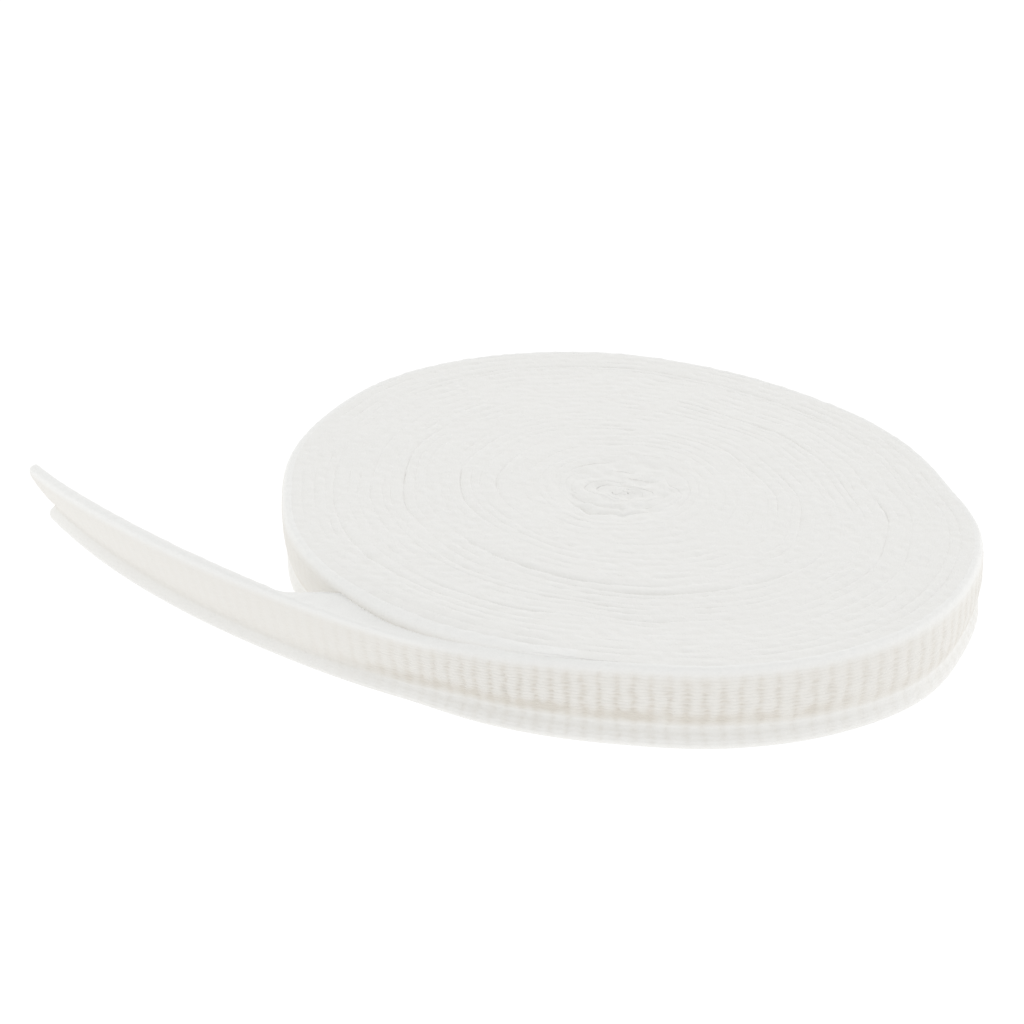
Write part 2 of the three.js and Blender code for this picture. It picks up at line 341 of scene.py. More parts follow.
def winding_radius(turns):
    """From the middle to the band's outer face. The outermost turn follows the outline's rows. Each turn
    further in is that outline closed up, scaled by its share of the way out, which eases into a circle
    and last into an ellipse."""
    angle = np.radians(LEAVE_ANGLE + FULL_TURN * turns)
    share = np.maximum(way_out(turns), 0)
    first = closed_read(OUTLINE["radius"] - RADIUS_DROP * (1 - OUTLINE["share"]), turns)
    across = angle - np.radians(HUB_ANGLE)
    fold = ROUND_RADIUS / np.hypot(np.cos(across) / HUB_LONG, np.sin(across) / HUB_SHORT)
    form = mix(ROUND_RADIUS, first, ease(ROUND_SHARE, OUTLINE_SHARE, share))
    form = mix(fold, form, ease(HUB_SHARE, HUB_SHARE + HUB_BLEND, share))
    away = (np.degrees(angle) - FRONT_BULGE["angle"] + 180) % FULL_TURN - 180
    near = ((share - FRONT_BULGE["share"]) / FRONT_BULGE["depth"]) ** 2
    bulge = FRONT_BULGE["size"] * np.exp(-((away / FRONT_BULGE["spread"]) ** 2) - near)
    return share * form * (1 + bulge) + RADIUS_DROP * np.clip(1 - turns, 0, 1)


def tuck(turns):
    """How far in the band's foot stands: the outline's column, closed up and fading inwards, with the drift
    that the closing took out given back over the outermost turn."""
    share = OUTLINE["share"]
    closed = closed_read(OUTLINE["tuck"] - TUCK_DRIFT * (2 * share - 1), turns)
    drift = np.where(turns < 1, 2 * turns - 1, np.clip(2 - turns, 0, 1))
    return closed * (1 - ease(1, TUCK_REACH, turns)) + TUCK_DRIFT * drift


def face_radius(turns, up):
    """The radius of the band's outer face at a height: the winding's, less the tuck times the way down to
    the power of one and a half."""
    return winding_radius(turns) - tuck(turns) * np.clip(1 - up, 0, 1) ** 1.5


def groove_depth(turns):
    """How far the crowns on either side go down to the line between two turns. It comes and goes about its
    usual depth in short and long waves over the plan, and each row of the grooves' table adds a bump
    along the line that lies nearest to its share."""
    angle = np.radians(LEAVE_ANGLE + FULL_TURN * turns)
    x, y = winding_radius(turns) * np.cos(angle), winding_radius(turns) * np.sin(angle)
    short, long = ripples(11, (7, 20), x, y), ripples(12, (35, 110), x, y)
    bed = np.maximum(GROOVE_USUAL + GROOVE_UNEVEN * short + GROOVE_DRIFT * long, GROOVE_LEAST)
    broken = np.clip(1 + 0.35 * ripples(13, (4, 14), x, y), 0.2, 1.6)
    for share, depth, deepest, spread in zip(*(GROOVES[k] for k in ("share", "depth", "deepest", "spread"))):
        part = (deepest - LEAVE_ANGLE) / FULL_TURN % 1
        line = np.round((1 - share) / TURN_SHARE + 1 - part) + part
        bed = bed + depth * broken * np.exp(-(((turns - line) * FULL_TURN / spread) ** 2))
    return bed * ease(0, 1.5, LAST_TURN + 1 - turns)


def outermost(turns):
    """1 on the outermost turn, and 0 on the turns further in."""
    return 1 - ease(1.0, 1.05, turns)


def low_stretch(turns):
    """1 where the band comes on to the roll and has slid down a little, and 0 further on."""
    return 1 - ease(-0.3 * LOW_REACH, LOW_REACH, turns)


def crown_height(turns):
    """The top of the band: its width, less a random rise and fall from turn to turn, which is greater at
    the hub, and less where it has slid down."""
    hub = 1 - ease(HUB_RADIUS - 2, HUB_RADIUS + 4, winding_radius(turns))
    uneven = (TOP_UNEVEN + HUB_TOP_UNEVEN * hub) * (ripples(21, (0.12, 0.7), turns) - 1.5)
    uneven = uneven * ease(0.9, 2, turns)
    return BAND_WIDTH + np.minimum(uneven, 0) - LOW_START * low_stretch(turns)


def crushed(points):
    """Moves the turns inside the outermost ones sideways in slow random waves, and the hub's in shorter
    ones, so that no turn is even. Their tops sag in slow waves too, and at the hub they dip."""
    x, y, z = np.moveaxis(points, -1, 0)
    away = np.hypot(x, y)
    closed = OUTLINE["radius"] - RADIUS_DROP * (1 - OUTLINE["share"])
    share = away / closed_read(closed, (np.degrees(np.arctan2(y, x)) - LEAVE_ANGLE) / FULL_TURN)
    slow = CRUSH * (1 - ease(*CRUSH_FADES, share))
    hub = 1 - ease(HUB_RADIUS - 3, HUB_RADIUS + 2, away)
    moves = [
        slow * ripples(seed, (18, 45), x, y) + HUB_CRUSH * hub * ripples(seed + 1, (5, 11), x, y)
        for seed in (51, 53)
    ]
    sag = np.maximum(SAG * (1 + 0.5 * ripples(55, (15, 60), x, y)), 0) * (1 - ease(*SAG_FADES, share))
    sag = sag + hub * (HUB_DIP + HUB_DIP_UNEVEN * ripples(56, (2.5, 7), x, y))
    beside = (np.degrees(np.arctan2(y, x)) - SLUMP["angle"] + 180) % FULL_TURN - 180
    outside = (np.minimum(share, 1) - 1) / SLUMP["share"]
    sag = sag + SLUMP["size"] * np.exp(-((beside / SLUMP["spread"]) ** 2) - outside**2)
    return np.stack([x + moves[0], y + moves[1], z - sag * (z / BAND_WIDTH) ** 2], axis=-1)


def wound_band(turns, face_rows, crown_rows, wall_rows):
    """The band's section at each place on the winding, as a grid of points: up the outer face, over the
    crown, down the inner face and round the foot. The crown falls from the middle of the band to either
    side by the groove's depth times the share of the way to the power CROWN_POWER. On the outermost turn
    the outer face has the table's profile, and its edge is a quarter ellipse."""
    turns = turns[:, None]
    shown = outermost(turns)
    top = crown_height(turns)
    outer_bed, inner_bed = groove_depth(turns), groove_depth(turns + 1)
    low = low_stretch(turns)

    def between(across, up):
        """Radius at a share of the way across the band, from its outer face to its inner one. Two turns
        stand a little apart at the foot and touch at the crown, and the low stretch presses into the
        turn behind it."""
        gap = TURN_GAP * (1 - ease(0.7, 1, up))
        outer = face_radius(turns, up) - gap
        inner = np.minimum(face_radius(turns + 1, up) + gap - LOW_PRESS * low, np.maximum(outer - 0.2, 0))
        return mix(outer, inner, across)

    thick = between(0, 1) - between(1, 1)
    foot = FACE["up"][0]
    shoulder = FACE["up"][-1]

    quarter = np.linspace(0, np.pi / 2, FOOT_ROWS + 1)[None, :-1]
    foot_up = foot * (1 - np.cos(quarter))
    foot_out = mix(0, FACE["out"][0], shown) - FOOT_REACH * (1 - np.sin(quarter))
    foot_part = (between(0, foot_up) + foot_out, foot_up * BAND_WIDTH + 0 * turns)

    up = np.linspace(foot, shoulder, face_rows)[None, :]
    crease = smooth_read(OUTLINE["share"], OUTLINE["crease"], turns)
    angle = LEAVE_ANGLE + FULL_TURN * turns
    broad = sum(np.exp(-(((angle - deepest) / spread) ** 2)) for deepest, spread in SHOULDERS)
    plain, creased, fall = (smooth_read(FACE["up"], FACE[name], up) for name in ("plain", "out", "broad"))
    profile = mix(plain, creased, crease) + broad * fall
    profile = profile * (1 - ease(*FACE_FADES, turns))
    climb = (up - foot) / (shoulder - foot)
    hidden_height = mix(foot * BAND_WIDTH, top - outer_bed, climb)
    face_at = mix(between(0, mix(foot, 1, climb)), between(0, up) + profile, shown)
    face_part = (face_at, mix(hidden_height, up * top, shown))

    part = np.linspace(0, 1, crown_rows + 1)[None, 1:]
    turn = part * np.pi / 2
    middle = mix(0.5, EDGE_SHARE, shown)
    start = profile[:, -1:]
    edge_out = start - (middle * thick + start) * (1 - np.cos(turn))
    edge_height = mix(shoulder * top, top, np.sin(turn))
    crown_out = mix(-part * thick / 2, edge_out, shown)
    crown_fall = top - outer_bed * (1 - part) ** CROWN_POWER
    outer_crown = (between(0, 1) + crown_out, mix(crown_fall, edge_height, shown))
    inner_fall = inner_bed * part**CROWN_POWER - LOW_LIP * low * part
    inner_crown = (between(mix(middle, 1, part), 1), top - inner_fall)

    down = np.linspace(1, 0, wall_rows + 2)[None, 1:-1] ** WALL_SPACING
    wall_height = mix(foot * BAND_WIDTH, top - inner_bed, down)
    wall_part = (between(1, wall_height / BAND_WIDTH), wall_height)
    back_up = foot_up[:, ::-1]
    back_in = FOOT_REACH * (1 - np.sin(quarter[:, ::-1]))
    under = (between(1, back_up) + back_in, back_up * BAND_WIDTH + 0 * turns)

    parts = [foot_part, face_part, outer_crown, inner_crown, wall_part, under]
    radius = np.concatenate([r + 0 * turns for r, _ in parts], axis=1)
    height = np.concatenate([h for _, h in parts], axis=1)
    angle = np.radians(angle)
    return crushed(np.stack([radius * np.cos(angle), radius * np.sin(angle), height], axis=-1))


def end_line(distance):
    """Where the loose end's middle stands and which way it heads: a circle's arc, as a chord at half the
    bend."""
    bend = np.radians(END_HEADING_LAST - END_HEADING_FIRST) * distance / END_LENGTH
    first = np.radians(END_HEADING_FIRST)
    chord = distance * np.sinc(bend / 2 / np.pi)
    start = np.radians(LEAVE_ANGLE)
    middle = OUTLINE["radius"][0] - RADIUS_DROP / 2
    x = middle * np.cos(start) + chord * np.cos(first + bend / 2)
    y = middle * np.sin(start) + chord * np.sin(first + bend / 2)
    return x, y, first + bend


def end_read(name, share):
    """A column of the loose end's sections, read at a share of its length."""
    return smooth_read(END_SECTIONS["at"], END_SECTIONS[name], share)


def end_points(distance, up, out):
    """Points of the loose end. Its middle line goes straight up to the crease and leans over above it, the
    lean coming in as the running total of an ease from just below the crease to just above it. A point
    lies its own distance out, square to that line."""
    share = distance / END_LENGTH
    width, lean, stand, crease = (end_read(name, share) for name in ("width", "lean", "foot", "crease"))
    lean = np.radians(lean)
    low, high = crease - BEND_HALF, crease + BEND_HALF
    t = np.clip((up - low) / (high - low), 0, 1)
    leaning = (high - low) * (t**3 - t**4 / 2) + np.maximum(up - high, 0)
    tilt = lean * ease(low, high, up)
    foot = stand * np.maximum(0, 1 - up / high) ** 1.3
    aside = leaning * width * np.sin(lean) + foot + out * np.cos(tilt)
    height = (up - leaning + leaning * np.cos(lean)) * width - out * np.sin(tilt)
    near_cut = ease(END_LENGTH - CUT_RAMP, END_LENGTH, distance)
    reach = smooth_read(END_CUT["up"], END_CUT["reach"], up) * near_cut
    x, y, heading = end_line(distance + reach)
    x, y = x - aside * np.sin(heading), y + aside * np.cos(heading)
    return np.stack([x, y, np.maximum(height, 0)], axis=-1)


def end_section_rows(face_rows, crown_rows, wall_rows):
    """The rows of the wound band's section again, each as a height, its part of the way from the face's
    profile to the band's middle, and the side that it is on."""
    foot, shoulder = FACE["up"][0], FACE["up"][-1]
    quarter = np.linspace(0, np.pi / 2, FOOT_ROWS + 1)[:-1]
    turn = np.linspace(0, np.pi / 2, crown_rows + 1)[1:]
    down = np.linspace(1, 0, wall_rows + 2)[1:-1] ** WALL_SPACING
    up = np.linspace(foot, shoulder, face_rows)
    return np.concatenate(
        [
            np.stack([foot * (1 - np.cos(quarter)), np.sin(quarter), np.ones(FOOT_ROWS)], -1),
            np.stack([up, np.ones(face_rows), np.ones(face_rows)], -1),
            np.stack([mix(shoulder, 1, np.sin(turn)), np.cos(turn), np.ones(crown_rows)], -1),
            np.stack([mix(1, INNER_SHOULDER, 1 - np.cos(turn)), np.sin(turn), -np.ones(crown_rows)], -1),
            np.stack([mix(foot, INNER_SHOULDER, down), np.ones(wall_rows), -np.ones(wall_rows)], -1),
            np.stack([foot * (1 - np.cos(quarter[::-1])), np.sin(quarter[::-1]), -np.ones(FOOT_ROWS)], -1),
        ]
    ).T


def face_place(distance, up):
    """Where to read the face's table for a height of the loose end, whose crease is lower down than the
    roll's."""
    crease = end_read("crease", distance / END_LENGTH)
    above = CREASE_UP + (up - crease) * (1 - CREASE_UP) / (1 - crease)
    return np.clip(np.where(up < crease, up * CREASE_UP / crease, above), FACE["up"][0], FACE["up"][-1])


def loose_end(distance, rows, inset=0.0):
    """The loose end as a grid of points, with the same rows as the wound band. Next to the roll its far
    side is drawn out by the gap between the two, to just below the crown, so that the tube closes the
    wedge there. With an inset, its points lie that much further in from the tube's outside all round,
    which gives the inside of the mouth."""
    up, part, side = (column[None, :] for column in rows)
    distance = distance[:, None]
    thick = end_read("thick", distance / END_LENGTH)
    low, high = inset / BAND_WIDTH, 1 - inset / BAND_WIDTH
    depth = mix(END_CREASE_SHARE, 1, 1 - ease(0, 0.3, distance / END_LENGTH))
    read_at = face_place(distance, up)
    plain, creased = (smooth_read(FACE["up"], FACE[name], read_at) for name in ("plain", "out"))
    face = mix(plain, creased, depth)
    x, y, _ = end_line(distance)
    press = mix(LOW_PRESS, PUFF_PRESS, ease(0, PUFF_PRESS_REACH, distance))
    gap = np.hypot(x, y) - thick / 2 - OUTLINE["radius"][-1] + press
    near = 1 - ease(0.3 * PUFF_REACH, PUFF_REACH, distance)
    open_here = (1 - ease(1.5 * PUFF_REACH, 2.5 * PUFF_REACH, distance)) * ease(0.1, 0.3, up)
    puffed = np.maximum(gap, 0) * open_here * mix(1, near, ease(INNER_SHOULDER, 0.985, up))
    half = np.where(side > 0, thick / 2 + face, thick / 2 + puffed)
    out = side * part * np.maximum(half - inset, 0.06)
    lip = np.where((side < 0) & (up > 0.9), LOW_LIP / BAND_WIDTH * near * part, 0)
    return end_points(distance, np.clip(up, low, high) + lip, out)


def blend_seam(points, seam, reach):
    """Softens the bend where the loose end meets the roll: near the seam each point moves towards the mean
    of its neighbours along the band."""
    steps = np.arange(len(points))
    near = np.exp(-(((steps - seam) / reach) ** 2))[:, None, None]
    wide = np.pad(points, ((reach, reach), (0, 0), (0, 0)), mode="edge")
    total = np.cumsum(np.concatenate([np.zeros_like(wide[:1]), wide]), axis=0)
    mean = (total[2 * reach + 1 :] - total[: -2 * reach - 1]) / (2 * reach + 1)
    return mix(points, mean, near)


def grid_normals(points):
    """Outward directions of a grid that is closed round its second axis: the cross product of its two
    differences."""
    along = np.gradient(points, axis=0)
    around = np.roll(points, -1, axis=1) - np.roll(points, 1, axis=1)
    normal = np.cross(along, around)
    return normal / np.maximum(np.linalg.norm(normal, axis=-1, keepdims=True), 1e-9)


def run_lengths(points, axis, closed=False):
    """The running length of a grid's middle line along one of its axes."""
    line = points.mean(axis=1 - axis)
    if closed:
        line = np.concatenate([line, line[:1]])
    return np.concatenate([[0], np.cumsum(np.linalg.norm(np.diff(line, axis=0), axis=1))])


def net_relief(rung, height, strength):
    """How far the net's face lies below its rungs. The hollows between rungs are each a raised cosine to the
    power of one and a half. Down the middle of each runs a row of holes, each a bell along the band times a
    squared cosine up it. Rungs wander a little and no two are alike. Returns the depth, and the painted
    shade of the hollows and holes, from 0 to 1."""
    wander = RUNG_WANDER * ripples(31, (1.8, 5.0), rung * RUNG_PITCH, height)
    phase = rung + wander
    hollow_shade = (0.5 - 0.5 * np.cos(2 * np.pi * phase)) ** 1.5
    from_middle = (phase % 1) - 0.5
    bell = np.exp(-((from_middle / HOLE_WIDTH) ** 2))
    stray = HOLE_WANDER * ripples(32, (2.0, 7.0), rung * RUNG_PITCH, height)
    stagger = HOLE_STAGGER * np.floor(phase) + stray
    hole = bell * (0.5 + 0.5 * np.cos(2 * np.pi * (height / HOLE_PITCH + stagger))) ** 2
    strong = 1 + NET_UNEVEN * ripples(33, (3.0, 12.0), rung * RUNG_PITCH, height)
    fibre = FIBRE_RELIEF * ripples(34, (0.9, 1.8), rung * RUNG_PITCH, height)
    depth = (HOLLOW_DEPTH * hollow_shade + HOLE_DEPTH * hole) * np.clip(strong, 0.4, 1.6) + fibre
    # The second value is painted shade, following the hollows and the holes
    return depth * strength, np.clip(HOLLOW_SHADE_PAINT * hollow_shade + HOLE_SHADE_PAINT * hole, 0, 1) * strength


def crown_relief(points):
    """The small unevenness of the crowns, where the rungs fold over them: ripples over the plan, so that
    neighbours stay level with each other. Returns the depth."""
    x, y = points[..., 0], points[..., 1]
    short, long = ripples(42, (1.3, 3.0), x, y), ripples(43, (3.0, 8.0), x, y)
    return CROWN_PUCKER * (1 + short) + CROWN_DRIFT * long


def crown_share(points):
    """0 on the band's faces and 1 on its crown."""
    return ease(BAND_WIDTH - CROWN_BELOW, BAND_WIDTH - CROWN_FULL, points[..., 2])


def net_mesh(name, points, along, looks, sharp_rows, sharp_from):
    """A closed skin over a grid of points: a quad for each cell, joined round the section, and a face over
    each end. The map named net holds the distance along the band and round its section, in millimetres.
    Each of the looks is an attribute of the points. The sharp rows, from one step on, are where a crown
    ends in a groove."""
    count, rows = points.shape[:2]
    around = run_lengths(points[:: max(1, count // 50)], 1, closed=True)
    i = np.arange(count - 1)[:, None]
    j = np.arange(rows)[None, :]
    k = (j + 1) % rows
    corners = np.stack([i * rows + j, (i + 1) * rows + j, (i + 1) * rows + k, i * rows + k], axis=-1)
    corners = corners.reshape(-1, 4)
    zero = 0 * (i + j)
    u = np.stack([along[i] + zero, along[i + 1] + zero, along[i + 1] + zero, along[i] + zero], axis=-1)
    v = np.stack([around[j] + zero, around[j] + zero, around[j + 1] + zero, around[j + 1] + zero], axis=-1)
    uv = np.stack([u.reshape(-1), v.reshape(-1)], axis=-1)
    a, b, c = (points.reshape(-1, 3)[corners[:, n]] for n in (0, 1, 2))
    inside_out = np.einsum("ij,ij->i", a, np.cross(b - a, c - a)).sum() < 0
    start, end = np.arange(rows), (count - 1) * rows + np.arange(rows)
    caps = [start[::-1], end] if inside_out else [start, end[::-1]]
    if inside_out:
        corners = corners[:, ::-1]
        uv = uv.reshape(-1, 4, 2)[:, ::-1].reshape(-1, 2)
    mesh = bpy.data.meshes.new(name)
    faces = corners.tolist() + [cap.tolist() for cap in caps]
    mesh.from_pydata((points.reshape(-1, 3) * MM).tolist(), [], faces)
    ends = np.concatenate([np.stack([0 * cap + along[n], around[:-1]], -1) for n, cap in zip((0, -1), caps)])
    layer = mesh.uv_layers.new(name="net")
    layer.uv.foreach_set("vector", np.concatenate([uv, ends]).astype(np.float32).ravel())
    for look, values in looks.items():
        attribute = mesh.attributes.new(look, "FLOAT", "POINT")
        attribute.data.foreach_set("value", values.astype(np.float32).ravel())
    smooth = np.ones(len(faces), bool)
    smooth[-2:] = False
    mesh.polygons.foreach_set("use_smooth", smooth)
    ends = np.empty(2 * len(mesh.edges), np.int32)
    mesh.edges.foreach_get("vertices", ends)
    step, row = np.divmod(ends.reshape(-1, 2), rows)
    sharp = (row[:, 0] == row[:, 1]) & np.isin(row[:, 0], sharp_rows) & (step.min(axis=1) >= sharp_from)
    mesh.attributes.new("sharp_edge", "BOOLEAN", "EDGE").data.foreach_set("value", sharp)
    mesh.update()
    piece = bpy.data.objects.new(name, mesh)
    bpy.context.scene.collection.objects.link(piece)
    return piece


def add_net_piece(name, points, relief, looks, material, node, sharp_rows, sharp_from=0):
    """Lowers the surface by its relief, square to itself, and makes the piece, which rides on the roll's
    body and stands for its solid."""
    along = run_lengths(points, 0)
    surface = points - grid_normals(points) * relief[..., None]
    surface[..., 2] = np.maximum(surface[..., 2], 0)
    piece = net_mesh(name, surface, along, looks, sharp_rows, sharp_from)
    piece.data.materials.append(material)
    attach(piece, "root")
    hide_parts(node)
    return piece


def to_linear(hex_colour):
    """An sRGB hex colour as linear red, green, blue and alpha."""
    srgb = np.array([int(hex_colour[i : i + 2], 16) for i in (1, 3, 5)]) / 255
    linear = np.where(srgb <= 0.04045, srgb / 12.92, ((srgb + 0.055) / 1.055) ** 2.4)
    return (*linear.tolist(), 1.0)


def add_node(tree, kind, links=(), **settings):
    """Adds a node. A setting is a property of it or, where it has none of that name, an input. A link is an
    input and the output that feeds it."""
    node = tree.nodes.new(kind)
    for key, value in settings.items():
        if hasattr(node, key):
            setattr(node, key, value)
        else:
            node.inputs[key.replace("_", " ")].default_value = value
    for socket, source in links:
        tree.links.new(source, node.inputs[socket])
    return node


def knitted_cotton(look):
    """Bleached cotton knitted over fine elastic: a dull, slightly warm white with a soft fuzz, so that it
    has no highlight, and rows of small stitches up each rung. An attribute of the points mixes its colour
    towards a darker,
    warmer one as painted shade: in the hollows between rungs, in the holes, along the crease, over the shown
    face and on the inner turns' crowns."""
    material = bpy.data.materials.new("knitted_cotton")
    material.use_nodes = True
    tree = material.node_tree
    tree.nodes.clear()
    place = add_node(tree, "ShaderNodeUVMap", uv_map="net")
    split = add_node(tree, "ShaderNodeSeparateXYZ", [(0, place.outputs["UV"])])
    # Painted shade: how far the cotton's colour is mixed towards the darker shade colour
    hollow_shade = add_node(tree, "ShaderNodeAttribute", attribute_name="hollow_shade")
    solid = [("Vector", add_node(tree, "ShaderNodeTexCoord").outputs["Object"])]
    fibres = add_node(tree, "ShaderNodeTexNoise", solid, Scale=1 / (FIBRE_SIZE * MM), Detail=3.0)
    tufts = add_node(tree, "ShaderNodeTexNoise", solid, Scale=1 / (TUFT_SIZE * MM), Detail=2.0)
    tone = add_node(tree, "ShaderNodeMix", [("Factor", hollow_shade.outputs["Fac"])], data_type="RGBA")
    for name, colour in (("A", look.rung_colour), ("B", look.painted_shade_colour)):
        socket = next(s for s in tone.inputs if s.name == name and s.type == "RGBA")
        socket.default_value = (*colour, 1.0)
    blended = next(s for s in tone.outputs if s.type == "RGBA")
    stitch = add_node(tree, "ShaderNodeMath", [(0, split.outputs["Y"])], operation="MULTIPLY")
    stitch.inputs[1].default_value = 2 * np.pi / STITCH_PITCH
    sway = add_node(tree, "ShaderNodeMath", [(0, tufts.outputs["Fac"])], operation="MULTIPLY")
    sway.inputs[1].default_value = STITCH_SWAY
    phase = add_node(tree, "ShaderNodeMath", [(0, stitch.outputs[0]), (1, sway.outputs[0])], operation="ADD")
    worked = add_node(tree, "ShaderNodeAttribute", attribute_name="worked")
    sine = add_node(tree, "ShaderNodeMath", [(0, phase.outputs[0])], operation="SINE")
    sides = [(0, sine.outputs[0]), (1, worked.outputs["Fac"])]
    wave = add_node(tree, "ShaderNodeMath", sides, operation="MULTIPLY")
    sides = [(0, wave.outputs[0]), (2, fibres.outputs["Fac"])]
    height = add_node(tree, "ShaderNodeMath", sides, operation="MULTIPLY_ADD")
    height.inputs[1].default_value = look.stitch_share
    relief = [("Height", height.outputs[0])]
    bump = add_node(tree, "ShaderNodeBump", relief, Strength=look.bump, Distance=STITCH_RELIEF * MM)
    shader = add_node(
        tree,
        "ShaderNodeBsdfPrincipled",
        [("Base Color", blended), ("Normal", bump.outputs["Normal"])],
        Roughness=look.roughness,
        Sheen_Weight=look.sheen,
        Sheen_Roughness=0.6,
        Specular_IOR_Level=0.25,
    )
    add_node(tree, "ShaderNodeOutputMaterial", [("Surface", shader.outputs["BSDF"])])
    return material


def material_of(look):
    """The band's material, made once."""
    return bpy.data.materials.get("knitted_cotton") or knitted_cotton(look)


def crown_end(face_rows):
    """The row where the crown ends, at the next turn in."""
    return FOOT_ROWS + face_rows + 2 * CROWN_ROWS - 1


def end_relief(rung, rows, depth_here):
    """The relief of the loose end and the outermost turn: the net on the shown face, fading over the crown,
    with painted shade in the net's hollows and holes. Painted shade lies along the crease too, as a bell
    just above its deepest line that comes and goes in slow waves, and a share of it over the whole shown
    face, less below the crease."""
    up, _, side = (column[None, :] for column in rows)
    turns = rung[:, None] / RUNGS_IN_TURN
    read_at = face_place(np.clip(-turns * RUNGS_IN_TURN * RUNG_PITCH, 0, END_LENGTH), up)
    shown = (side > 0) * smooth_read(FACE["up"], FACE["rung"], read_at) * ease(0.0, 0.028, up)
    shown = shown * smooth_read(RUNGS_SHOWN["turns"], RUNGS_SHOWN["shown"], turns)
    shown = shown * depth_here * (1 - ease(0.87, 0.97, up))
    relief, hollow_shade = net_relief(rung[:, None], up * BAND_WIDTH, shown)
    crease = smooth_read(OUTLINE["share"], OUTLINE["crease"], turns)
    crease = crease * mix(END_CREASE_SHARE, 1, ease(-0.08, 0, turns))
    # Painted shade along the crease, just above its deepest line
    painted_crease_shade = (side > 0) * crease**2 * np.exp(-(((read_at - CREASE_UP - TROUGH_SPREAD) / TROUGH_SPREAD) ** 2))
    broken = 1 + 0.3 * ripples(35, (4.0, 14.0), rung[:, None] * RUNG_PITCH, up * BAND_WIDTH)
    painted_crease_shade = painted_crease_shade * np.clip(broken, 0.3, 1.7)
    # Painted shade over the whole shown face, less on the lip below the crease
    above = mix(LIP_SHARE, 1, ease(0.8 * CREASE_UP, CREASE_UP, read_at))
    painted_face_shade = FACE_SHADE * (side > 0) * above * (1 - ease(0.86, 0.98, up))
    hollow_shade = np.clip(hollow_shade + (CREASE_SHADE * painted_crease_shade + painted_face_shade) * depth_here, 0, 1)
    return relief, {"hollow_shade": hollow_shade, "worked": shown}


def make_front(material):
    """The loose end with its cut, open mouth, and on from it the front of the outermost turn."""
    rows = end_section_rows(FACE_ROWS, CROWN_ROWS, WALL_ROWS)
    step = RUNG_PITCH / STEPS_IN_RUNG
    steps = round(END_LENGTH / step)
    distance = np.linspace(END_LENGTH, 0, steps + 1)[:-1]
    mouth = [loose_end(np.array([END_LENGTH - back]), rows, MOUTH_WALL) for back in MOUTH_DEPTHS[::-1]]
    tail = np.concatenate([*mouth, loose_end(distance, rows)])
    turns = np.arange(round(FRONT_END * RUNGS_IN_TURN) * STEPS_IN_RUNG + 1) / (RUNGS_IN_TURN * STEPS_IN_RUNG)
    points = np.concatenate([tail, wound_band(turns, FACE_ROWS, CROWN_ROWS, WALL_ROWS)])
    points = blend_seam(points, len(tail), SEAM_REACH)
    rung = np.concatenate([np.zeros(len(mouth)), -distance / RUNG_PITCH, turns * RUNGS_IN_TURN])
    whole = np.ones((len(points), 1))
    whole[: len(mouth)] = 0
    relief, looks = end_relief(rung, rows, whole)
    points[..., 2] -= crown_share(points) * whole * crown_relief(points)
    sharp = [crown_end(FACE_ROWS)]
    name = "loose_end_and_front"
    return add_net_piece(name, points, relief, looks, material, "loose_end", sharp, len(tail))


def make_back(material):
    """The back of the outermost turn, on to where it goes in behind the loose end."""
    first, last = (round(end * RUNGS_IN_TURN) * STEPS_IN_RUNG for end in (FRONT_END, BACK_END))
    turns = np.arange(first, last + 1) / (RUNGS_IN_TURN * STEPS_IN_RUNG)
    rows = end_section_rows(FACE_ROWS, CROWN_ROWS, WALL_ROWS)
    points = wound_band(turns, FACE_ROWS, CROWN_ROWS, WALL_ROWS)
    rung = turns * RUNGS_IN_TURN
    shown = outermost(turns)[:, None]
    relief, looks = end_relief(rung, rows, shown)
    points[..., 2] -= crown_share(points) * crown_relief(points)
    sharp = [crown_end(FACE_ROWS)]
    return add_net_piece("outermost_turn_back", points, relief, looks, material, "roll", sharp)


def make_inner(material):
    """All the turns inside the outermost one, as a few long pieces that meet end to end."""
    fine = np.linspace(round(BACK_END * RUNGS_IN_TURN) / RUNGS_IN_TURN, LAST_TURN, LENGTH_STEPS)
    radius = winding_radius(fine)
    angle = np.radians(FULL_TURN * fine)
    length = run_lengths(np.stack([radius * np.cos(angle), radius * np.sin(angle)], -1)[:, None, :], 0)
    steps = round(length[-1] / INNER_STEP)
    along = np.linspace(0, length[-1], steps + 1)
    turns = np.interp(along, length, fine)
    points = wound_band(turns, HIDDEN_ROWS, CROWN_ROWS, INNER_WALL_ROWS)
    drop = crown_share(points) * crown_relief(points)
    points[..., 2] -= drop
    sharp = [FOOT_ROWS + HIDDEN_ROWS - 1, crown_end(HIDDEN_ROWS)]
    cuts = np.linspace(0, steps, INNER_PIECES + 1).round().astype(int)
    for n, (first, last) in enumerate(zip(cuts[:-1], cuts[1:])):
        part = slice(first, last + 1)
        # Painted shade on the crowns: an even share, and more where they dip
        hollow_shade = np.clip(CROWN_SHADE + 0.5 * drop[part], 0, 0.5)
        looks = {"hollow_shade": hollow_shade, "worked": 0 * hollow_shade + CROWN_WORKED}
        add_net_piece(f"inner_turns_{n + 1}", points[part], 0 * drop[part], looks, material, "roll", sharp)


# The camera, fitted to the photograph's outline of the roll, with no shift
CAMERA_AZIMUTH = 3.2
CAMERA_ELEVATION = 27.82
CAMERA_ROLL = -1.71
CAMERA_DISTANCE = 447.8
CAMERA_TARGET = (-21.7, 18.6, 0.0)
CAMERA_LENS = 80.56
CAMERA_SENSOR = 36
CAMERA_CLIP = (0.01, 20)  # metres
FLOOR_SIZE = 6000.0
HORIZON_SHARE = 1.1  # of the tent light overhead
SOFTBOX_SIZE = 500.0
LEFT_PLACE, LEFT_TARGET = (-705, 551, 200), (-30, 0, 0)
RIGHT_PLACE, RIGHT_TARGET = (776, 362, 278), (30, 0, 0)


